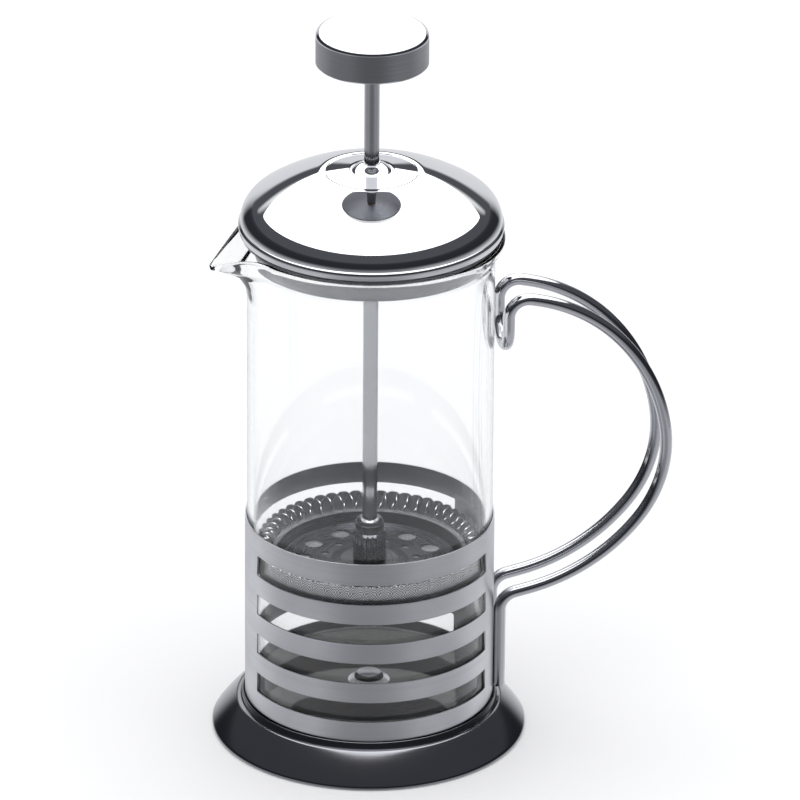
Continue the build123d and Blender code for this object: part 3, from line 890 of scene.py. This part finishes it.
@dataclass
class Beaker:
    """Blown glass beaker with its spout drawn out of the hot lip."""

    bench: Bench
    radius: float = 35.05
    wall: float = 1.85
    foot: float = 12.2
    floor_sheet: float = 2.6
    heel: float = 3.0
    inner_heel: float = 2.0
    flare: float = 145.5
    rim: float = 153.2
    lip_radius: float = 37.8
    bead: float = 1.0
    nub: Point = (4.2, 1.3)
    nub_foot: float = 2.0
    centre_ring: float = 1.0
    wall_rings: int = 24
    spout_pull: tuple[float, float, float] = (-8.3, 0.0, -6.3)
    spout_grip: float = 2.2
    spout_reach: float = 17.5

    def flare_curve(self, low_radius: float, high_radius: float, steps: int) -> list[Point]:
        """S-shaped flare from the straight wall out to the lip.

        Args:
            low_radius: radius where the flare starts.
            high_radius: radius at the lip.
            steps: number of spans.
        """
        top = self.rim - self.bead
        curve = []
        for i in range(1, steps + 1):
            t = i / steps
            ease = t * t * (3 - 2 * t)
            radius = low_radius + (high_radius - low_radius) * ease
            curve.append((radius, self.flare + (top - self.flare) * t))
        return curve

    def build(self) -> None:
        """Turns the beaker, draws out its spout and dresses it."""
        inner = self.radius - self.wall
        floor_top = self.foot + self.floor_sheet
        lip_inner = self.lip_radius - 2 * self.bead
        nub_radius, nub_rise = self.nub
        heel_top = self.foot + self.heel
        rise = (self.flare - self.foot - self.heel) / self.wall_rings
        bend = self.inner_heel
        profile = [
            (self.centre_ring, self.foot),
            (nub_radius, self.foot),
            *arc((self.radius - self.heel, self.foot + self.heel), self.heel, -90, 0, 8),
            *[(self.radius, heel_top + rise * i) for i in range(1, self.wall_rings + 1)],
            *self.flare_curve(self.radius, self.lip_radius, 8),
            *arc((self.lip_radius - self.bead, self.rim - self.bead), self.bead, 0, 180, 8)[1:],
            *list(reversed(self.flare_curve(inner, lip_inner, 8)))[1:],
            *[(inner, self.flare - rise * i) for i in range(self.wall_rings - 1)],
            *arc((inner - bend, floor_top + bend), bend, 0, -90, 8),
            (nub_radius + self.nub_foot, floor_top),
            *arc((nub_radius - nub_rise, floor_top), nub_rise, 0, 90, 6),
            (self.centre_ring, floor_top + nub_rise),
        ]
        beaker = lathe("beaker", profile, segments=160, closed=False)
        self.draw_spout(beaker)
        settle(beaker, 60)
        self.bench.place(beaker, "beaker", "glass_beaker", "beaker_glass", GLASS)

    def draw_spout(self, beaker: bpy.types.Object) -> None:
        """Pulls the lip out and down into a spout, the wall below following it."""
        rim_radius = self.lip_radius - self.bead
        lip_low = self.rim - 1.2 * self.bead

        def at_tip(x: float, y: float, z: float) -> bool:
            """Whether a point of the lip lies where the tongs take hold."""
            return math.hypot(x + rim_radius, y) < self.spout_grip and z > lip_low

        pick_vertices(beaker, at_tip)
        bpy.ops.transform.translate(
            value=[d * MM for d in self.spout_pull],
            use_proportional_edit=True,
            proportional_edit_falloff="SHARP",
            proportional_size=self.spout_reach * MM,
            use_proportional_connected=False,
        )
        bpy.ops.mesh.select_all(action="SELECT")
        bpy.ops.mesh.normals_make_consistent(inside=False)
        bpy.ops.object.mode_set(mode="OBJECT")


@dataclass
class Lid:
    """Polished domed lid with its skirt and rod bushing."""

    bench: Bench
    radius: float = 37.5
    top: float = 174.0
    crown: float = 60.3
    shoulder: float = 8.3
    rim: float = 154.4
    roll: float = 155.8
    sheet: float = 0.6
    step: float = 0.5
    hem: float = 0.2
    bead: float = 0.3
    dish: float = 12.9
    dish_depth: float = 0.6
    dish_lean: float = 9.0
    seat: float = 171.6
    moat: float = 0.4
    cone_ring: float = 3.0
    ridge_width: float = 2.0
    shank: float = 3.2
    hub: float = 6.1

    def crown_height(self, radius: float) -> float:
        """Height of the crown's outer face at a radius."""
        return self.top - self.crown + math.sqrt(self.crown**2 - radius**2)

    def build(self) -> None:
        """Turns the dome and dresses the lid's other pieces."""
        centre_radius = self.radius - self.step - self.shoulder
        rise = math.sqrt((self.crown - self.shoulder) ** 2 - centre_radius**2)
        centre = (0.0, self.top - self.crown)
        shoulder = (centre_radius, centre[1] + rise)
        lean = math.degrees(math.atan2(rise, centre_radius))
        ridge_foot = self.dish + self.ridge_width
        start = math.degrees(math.acos(ridge_foot / self.crown))
        dish_low = self.crown_height(self.dish) - self.dish_depth
        slope = math.tan(math.radians(self.dish_lean))
        # the crest of the ridge round the dish: (distance outside the dish, rise above its foot)
        crest = [(0.2, 0.053), (0.4, 0.069), (0.65, 0.081), (0.95, 0.085)]
        crest += [(1.2, 0.081), (1.45, 0.069), (1.75, 0.049)]
        foot_height = self.crown_height(ridge_foot)
        t = self.sheet
        profile = [
            (self.shank, self.seat),
            (self.hub - self.moat, self.seat),
            (self.hub + self.moat, dish_low + (self.dish - self.hub - self.moat) * slope),
            (self.dish - self.cone_ring, dish_low + self.cone_ring * slope),
            (self.dish, dish_low),
            *[(self.dish + out, foot_height + height) for out, height in crest],
            *arc(centre, self.crown, start, lean, 30),
            *arc(shoulder, self.shoulder, lean, 0, 16)[1:],
            (self.radius - 0.1, shoulder[1] - self.bead),
            (self.radius, shoulder[1] - 2 * self.bead),
            (self.radius, self.roll),
            (self.radius - self.bead, self.roll - self.bead),
            (self.radius - self.bead, self.rim + self.hem),
            (self.radius - self.step, self.rim),
            (self.radius - t - self.hem, self.rim),
            (self.radius - t - self.hem, self.roll),
            (self.radius - t, self.roll + self.hem),
            (self.radius - t, shoulder[1] - 0.7),
            *arc(shoulder, self.shoulder - t, 0, lean, 10),
            *arc(centre, self.crown - t, lean, start, 12)[1:],
            (self.dish - self.moat, dish_low - t),
            (self.shank, self.seat - t),
        ]
        dome = lathe("lid_dome_polished", profile, segments=192)
        self.bench.place(dome, "lid", "lid_dome", "mirror_steel", MIRROR)
        # the inner ring's dark colour is painted shade, for the shadow under the lid's rim
        self.bench.refinish("lid_skirt", SATIN_PAINTED_SHADE)
        self.bench.refinish("lid_bushing", MIRROR)
        self.bench.refinish("bushing_washer", SATIN)
        self.bench.refinish("bushing_nut", SATIN)


@dataclass
class Plunger:
    """Rod with its knob."""

    bench: Bench
    knob_radius: float = 15.9
    seam: float = 213.1
    top: float = 214.9
    cap_sheet: float = 0.7
    cap_corner: float = 1.7
    centre_ring: float = 1.0

    def make_cap(self) -> bpy.types.Object:
        """Turns the knob's polished cap with its well rounded edge."""
        inside = self.knob_radius - self.cap_sheet
        under = self.top - self.cap_sheet
        corner = (self.knob_radius - self.cap_corner, self.top - self.cap_corner)
        profile = [
            (self.centre_ring, under),
            (corner[0], under),
            *arc(corner, self.cap_corner - self.cap_sheet, 90, 0, 6)[1:],
            (inside, self.seam),
            (self.knob_radius, self.seam),
            *arc(corner, self.cap_corner, 0, 90, 12),
            (self.centre_ring, self.top),
        ]
        return lathe("knob_cap_polished", profile, segments=160, closed=False)

    def build(self) -> None:
        """Dresses the rod and the knob."""
        self.bench.place(self.make_cap(), "knob", "knob_cap", "mirror_steel", MIRROR)
        self.bench.refinish("plunger_rod", ROD)
        self.bench.refinish("filter_hub_nut", HUB)
        # the shell's darker colour is painted shade, for its darker reflection
        self.bench.refinish("knob_shell", KNOB_SIDE_PAINTED_SHADE)
        self.bench.refinish("knob_core", CORE)
        self.bench.refinish("knob_insert", BRASS)


@dataclass
class Filter:
    """Spring plate, coil, woven screen and cross plate on the rod's foot."""

    bench: Bench
    coil_radius: float = 29.9
    tube_radius: float = 2.45
    wire: float = 0.6
    loops: int = 54
    turn_steps: int = 20
    coil_height: float = 56.3
    screen_radius: float = 32.75
    screen_low: float = 50.9
    screen_top: float = 58.4
    screen_corner: float = 2.2
    screen_sheet: float = 0.2
    screen_hole: float = 1.82
    floor_ring: float = 12.0
    edge_rings: tuple[float, ...] = (55.6, 56.6, 57.6)
    fold_scale: float = 0.986
    fold_drop: float = 0.5
    fold_share: float = 0.26
    fold_low: float = 56.4
    near: float = 0.1

    def make_coil(self) -> bpy.types.Object:
        """Winds the spring as one straight helix and closes it into a ring."""
        deselect()
        pitch = 2 * math.pi * self.coil_radius / self.loops
        bpy.ops.mesh.primitive_circle_add(
            vertices=8,
            radius=self.wire / 2 * MM,
            location=((self.tube_radius - self.wire / 2) * MM, 0, 0),
            rotation=(math.pi / 2, 0, 0),
        )
        coil = bpy.context.object
        coil.name = "coil_wound"
        bpy.ops.object.transform_apply(location=True, rotation=True, scale=True)
        wind = coil.modifiers.new("wind", "SCREW")
        wind.screw_offset = pitch * MM
        wind.iterations = self.loops
        wind.steps = wind.render_steps = self.turn_steps
        wind.use_merge_vertices = False
        bpy.ops.object.modifier_apply(modifier="wind")
        bpy.ops.object.mode_set(mode="EDIT")
        bpy.ops.mesh.select_all(action="SELECT")
        bpy.ops.transform.rotate(value=math.pi / 2, orient_axis="Y", center_override=(0, 0, 0))
        bpy.ops.object.mode_set(mode="OBJECT")
        close = coil.modifiers.new("close", "SIMPLE_DEFORM")
        close.deform_method = "BEND"
        close.deform_axis = "Z"
        close.angle = 2 * math.pi
        bpy.ops.object.modifier_apply(modifier="close")
        bpy.ops.object.mode_set(mode="EDIT")
        bpy.ops.mesh.select_all(action="SELECT")
        bpy.ops.mesh.remove_doubles(threshold=0.02 * MM)
        bpy.ops.mesh.normals_make_consistent(inside=False)
        bpy.ops.object.mode_set(mode="OBJECT")
        corners = [vertex.co.copy() for vertex in coil.data.vertices]
        low = Vector([min(c[i] for c in corners) for i in range(3)])
        high = Vector([max(c[i] for c in corners) for i in range(3)])
        coil.location = Vector((0, 0, self.coil_height * MM)) - (low + high) / 2
        settle(coil, 60)
        return coil

    def make_screen(self) -> bpy.types.Object:
        """Forms the screen cup and crimps its standing edge between the coil's turns."""
        radius, low, sheet = self.screen_radius, self.screen_low, self.screen_sheet
        bend = (radius - self.screen_corner, low + self.screen_corner)
        profile = [
            (self.screen_hole, low),
            (self.floor_ring, low),
            (bend[0], low),
            *arc(bend, self.screen_corner, -90, 0, 6)[1:],
            *[(radius, z) for z in (*self.edge_rings, self.screen_top)],
            *[(radius - sheet, z) for z in (self.screen_top, *reversed(self.edge_rings))],
            (radius - sheet, bend[1]),
            *arc(bend, self.screen_corner - sheet, 0, -90, 6)[1:],
            (self.floor_ring, low + sheet),
            (self.screen_hole, low + sheet),
        ]
        screen = lathe("screen_crimped", profile, segments=self.loops * 6)
        pitch = 360 / self.loops

        def fold_offset(x: float, y: float) -> float:
            """Distance from the middle of the nearest fold, as a share of the coil's pitch."""
            return abs(math.degrees(math.atan2(y, x)) % pitch / pitch - 0.5)

        def in_fold(x: float, y: float, z: float) -> bool:
            """Whether a point of the standing edge lies between two turns of the coil."""
            return z > self.fold_low and fold_offset(x, y) < self.fold_share

        pick_vertices(screen, in_fold)
        bpy.ops.transform.resize(
            value=(self.fold_scale, self.fold_scale, 1.0), center_override=(0, 0, 0)
        )

        def fold_top(x: float, y: float, z: float) -> bool:
            """Whether a point of the top edge lies at the bottom of a fold."""
            return z > self.screen_top - self.near and fold_offset(x, y) < self.near

        pick_vertices(screen, fold_top)
        bpy.ops.transform.translate(value=(0, 0, -self.fold_drop * MM))
        bpy.ops.object.mode_set(mode="OBJECT")
        settle(screen, 60)
        return screen

    def build(self) -> None:
        """Makes the coil and dresses the filter."""
        screen = self.make_screen()
        self.bench.place(screen, "filter", "mesh_screen", "mesh_steel", SCREEN)
        coil = self.make_coil()
        self.bench.place(coil, "filter", "coil_spring", "wire_steel", COIL)
        self.bench.refinish("spring_plate", DARK_PLATE)
        self.bench.refinish("cross_plate", DARK_PLATE)
        self.bench.refinish("cross_bush", SATIN)


def main() -> None:
    """Builds the press piece by piece, then the studio."""
    bench = Bench(frame["nodes"])
    for assembly in (Foot, Sleeve, Beaker, Lid, Plunger, Filter):
        assembly(bench).build()
        log.info("finished the %s", assembly.__name__.lower())
    Studio(bench).build()


if __name__ == "__main__":
    main()
